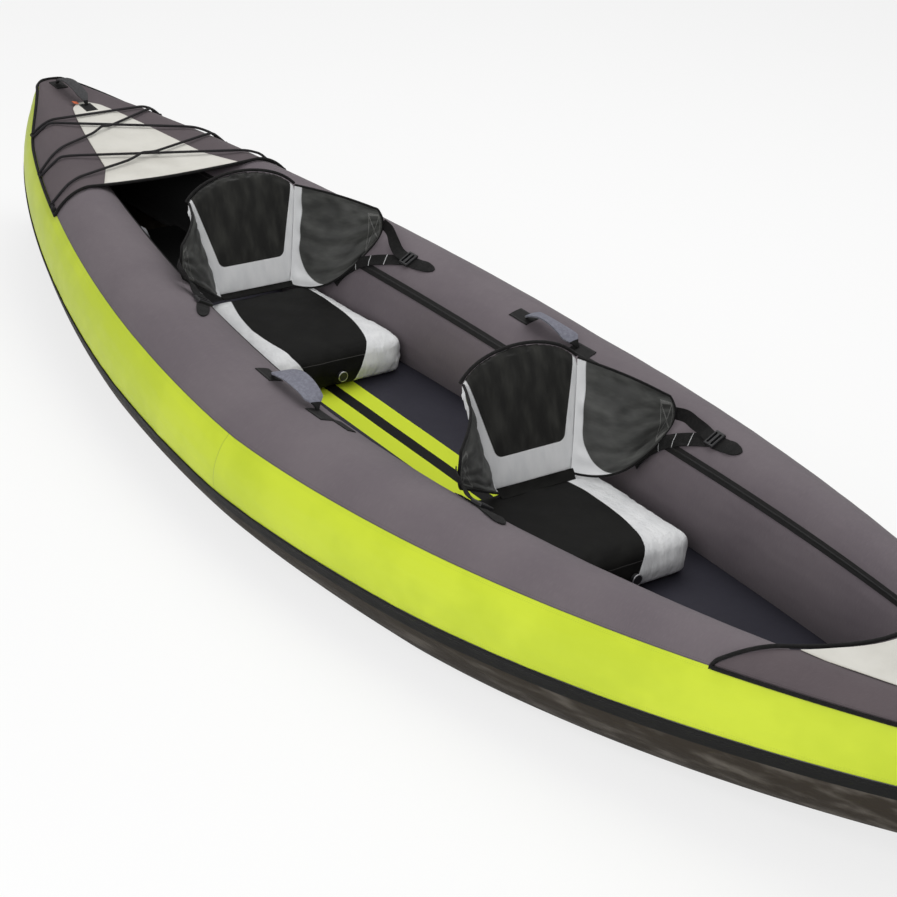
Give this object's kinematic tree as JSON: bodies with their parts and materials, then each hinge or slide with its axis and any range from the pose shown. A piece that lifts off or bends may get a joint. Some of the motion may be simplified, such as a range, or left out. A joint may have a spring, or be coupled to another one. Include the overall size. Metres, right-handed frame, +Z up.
{
  "type": "inflatable canoe",
  "caption": "Open inflatable canoe: fabric skins over air tubes, laced end decks, strapped folding seats, webbing carry handles.",
  "frame": {"origin": "on the ground under the middle of the hull", "axes": "+X towards the bow, +Y to port, +Z up"},
  "size_m": [3.3198, 0.9612, 0.4151],
  "materials": {
    "green_coated": "satin coated",
    "mauve_woven": "matt woven",
    "deck_woven": "matt woven",
    "ivory_coated": "satin coated",
    "black_tarpaulin": "satin coated",
    "black_webbing": "matt ribbed",
    "floor_navy": "satin coated",
    "grey_webbing": "matt ribbed",
    "seat_black": "satin coated",
    "seat_charcoal": "matt woven",
    "valve_plastic": "satin",
    "bladder_film": "satin film",
    "cord_cover": "matt braided"
  },
  "bodies": {
    "hull": {"tube_bladder_port_aft": "bladder_film", "tube_bladder_port_fore": "bladder_film", "side_band_port": "green_coated", "top_cover_port": "mauve_woven", "inner_cover_port": "mauve_woven", "zip_strip_port": "black_webbing", "port_handle_patch_aft": "black_webbing", "port_handle_patch_fore": "black_webbing", "valve_port": "valve_plastic", "tube_bladder_starboard_aft": "bladder_film", "tube_bladder_starboard_fore": "bladder_film", "side_band_starboard": "green_coated", "top_cover_starboard": "mauve_woven", "inner_cover_starboard": "mauve_woven", "zip_strip_starboard": "black_webbing", "starboard_handle_patch_aft": "black_webbing", "starboard_handle_patch_fore": "black_webbing", "valve_starboard": "valve_plastic", "floor_bladder": "bladder_film", "hull_bottom": "black_tarpaulin", "floor_cover": "floor_navy", "floor_valve": "valve_plastic", "stern_deck": "deck_woven", "stern_deck_panel": "ivory_coated", "stern_deck_trim": "black_webbing", "stern_handle_patch_tip": "black_webbing", "stern_handle_patch_deck": "black_webbing", "bow_deck": "deck_woven", "bow_deck_panel": "ivory_coated", "bow_deck_trim": "black_webbing", "bow_handle_patch_tip": "black_webbing", "bow_handle_patch_deck": "black_webbing", "deck_cord": "cord_cover", "rear_cushion": "seat_black", "rear_buckle_port": "valve_plastic", "rear_anchor_strap_port": "black_webbing", "rear_buckle_starboard": "valve_plastic", "rear_anchor_strap_starboard": "black_webbing", "front_cushion": "seat_black", "front_buckle_port": "valve_plastic", "front_anchor_strap_port": "black_webbing", "front_buckle_starboard": "valve_plastic", "front_anchor_strap_starboard": "black_webbing"},
    "rear_backrest": {"rear_back_panel": "seat_black", "rear_wing_port": "seat_charcoal", "rear_wing_starboard": "seat_charcoal", "rear_upper_strap_port": "black_webbing", "rear_upper_strap_starboard": "black_webbing"},
    "front_backrest": {"front_back_panel": "seat_black", "front_wing_port": "seat_charcoal", "front_wing_starboard": "seat_charcoal", "front_upper_strap_port": "black_webbing", "front_upper_strap_starboard": "black_webbing"},
    "port_grip": {"port_handle": "grey_webbing"},
    "starboard_grip": {"starboard_handle": "grey_webbing"},
    "stern_grip": {"stern_handle": "grey_webbing"},
    "bow_grip": {"bow_handle": "grey_webbing"},
    "lid_port": {"valve_lid_port": "valve_plastic"},
    "lid_starboard": {"valve_lid_starboard": "valve_plastic"},
    "lid_floor": {"floor_valve_lid": "valve_plastic"}
  },
  "joints": [
    {"name": "rear_backrest_fold", "type": "hinge", "parent": "hull", "child": "rear_backrest", "pos_m": [-0.655, 0, 0.17023], "axis": [0, 1, 0], "range_deg": [0, 60], "deforming": ["rear_wing_port", "rear_wing_starboard", "rear_upper_strap_port", "rear_upper_strap_starboard"]},
    {"name": "front_backrest_fold", "type": "hinge", "parent": "hull", "child": "front_backrest", "pos_m": [0.343, 0, 0.17357], "axis": [0, 1, 0], "range_deg": [0, 60], "deforming": ["front_wing_port", "front_wing_starboard", "front_upper_strap_port", "front_upper_strap_starboard"]},
    {"name": "port_handle_swing", "type": "hinge", "parent": "hull", "child": "port_grip", "pos_m": [-0.1, 0.30576, 0.27422], "axis": [0.9997, 0.0237, -0.0065], "range_deg": [-35, 35]},
    {"name": "starboard_handle_swing", "type": "hinge", "parent": "hull", "child": "starboard_grip", "pos_m": [-0.1, -0.30576, 0.27422], "axis": [0.9997, -0.0237, -0.0065], "range_deg": [-35, 35]},
    {"name": "stern_handle_swing", "type": "hinge", "parent": "hull", "child": "stern_grip", "pos_m": [-1.592, 0, 0.35995], "axis": [0.9982, 0, -0.0596], "range_deg": [-35, 35]},
    {"name": "bow_handle_swing", "type": "hinge", "parent": "hull", "child": "bow_grip", "pos_m": [1.44, 0, 0.35061], "axis": [0.9981, 0, 0.0619], "range_deg": [-35, 35]},
    {"name": "valve_lid_port_flip", "type": "hinge", "parent": "hull", "child": "lid_port", "pos_m": [-0.93463, 0.12402, 0.23326], "axis": [-0.0145, -0.3397, -0.9404], "range_deg": [0, 90]},
    {"name": "valve_lid_starboard_flip", "type": "hinge", "parent": "hull", "child": "lid_starboard", "pos_m": [-0.93463, -0.12402, 0.23326], "axis": [0.0145, -0.3397, 0.9404], "range_deg": [0, 90]},
    {"name": "floor_valve_lid_flip", "type": "hinge", "parent": "hull", "child": "lid_floor", "pos_m": [-0.94542, 0, 0.11305], "axis": [0, -1, 0], "range_deg": [0, 90]}
  ]
}
